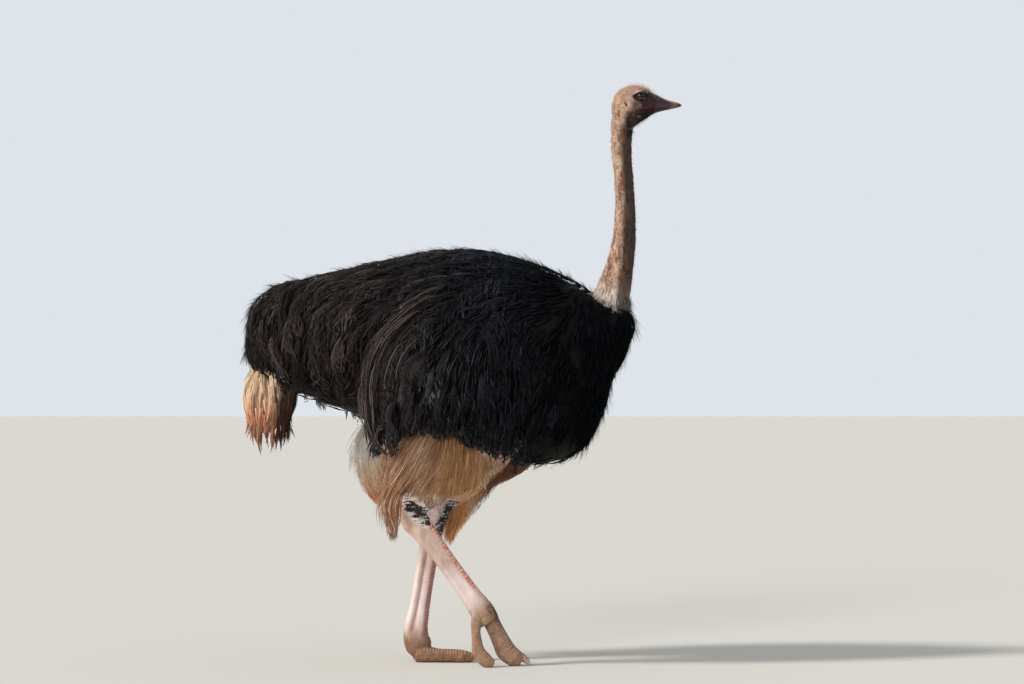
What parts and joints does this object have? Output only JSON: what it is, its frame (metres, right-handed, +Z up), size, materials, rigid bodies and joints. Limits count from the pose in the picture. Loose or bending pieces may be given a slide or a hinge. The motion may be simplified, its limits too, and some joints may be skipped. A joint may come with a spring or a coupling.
{
  "type": "ostrich",
  "caption": "Life-size still model of a male ostrich in mid stride, neck upright, one foot flat and the other on its toe tips.",
  "frame": {"origin": "on the floor under the middle of the model's box", "axes": "+X the way the bird faces, +Y its left, +Z up"},
  "size_m": [1.563, 0.7326, 2.0572],
  "materials": {
    "head_skin": "matt skin under short bristly down",
    "neck_down": "skin under sparse buff down",
    "bill_horn": "satin horn, dark at the tip",
    "eye": "wet gloss",
    "black_feather": "loose black plumes with brown lights",
    "pale_plume": "soft hanging plumes, cream to tan",
    "tail_plume": "soft hanging plumes, rust brown",
    "thigh_skin": "matt skin",
    "ankle_scale": "coarse dark scales, dusty",
    "tarsus_scale": "pale scaly skin with pink scutes in front",
    "toe_skin": "dusty scaly skin",
    "claw_horn": "worn horn"
  },
  "bodies": {
    "root": {"head": "head_skin", "bill_upper": "bill_horn", "bill_lower": "bill_horn", "eye_right": "eye", "eye_left": "eye", "neck_upper": "neck_down", "neck_middle": "neck_down", "neck_lower": "neck_down", "trunk": "black_feather", "wing_right": "black_feather", "wing_left": "black_feather", "tail": "tail_plume", "plumes_right": "pale_plume", "plumes_left_rear": "pale_plume", "plumes_left_front": "pale_plume", "shank_right": "thigh_skin", "ankle_right": "ankle_scale", "tarsus_right": "tarsus_scale", "toe_main_right": "toe_skin", "toe_outer_right": "toe_skin", "claw_right": "claw_horn", "shank_left": "thigh_skin", "ankle_left": "ankle_scale", "tarsus_left": "tarsus_scale", "toe_main_left": "toe_skin", "toe_outer_left": "toe_skin", "claw_left": "claw_horn"}
  },
  "joints": []
}
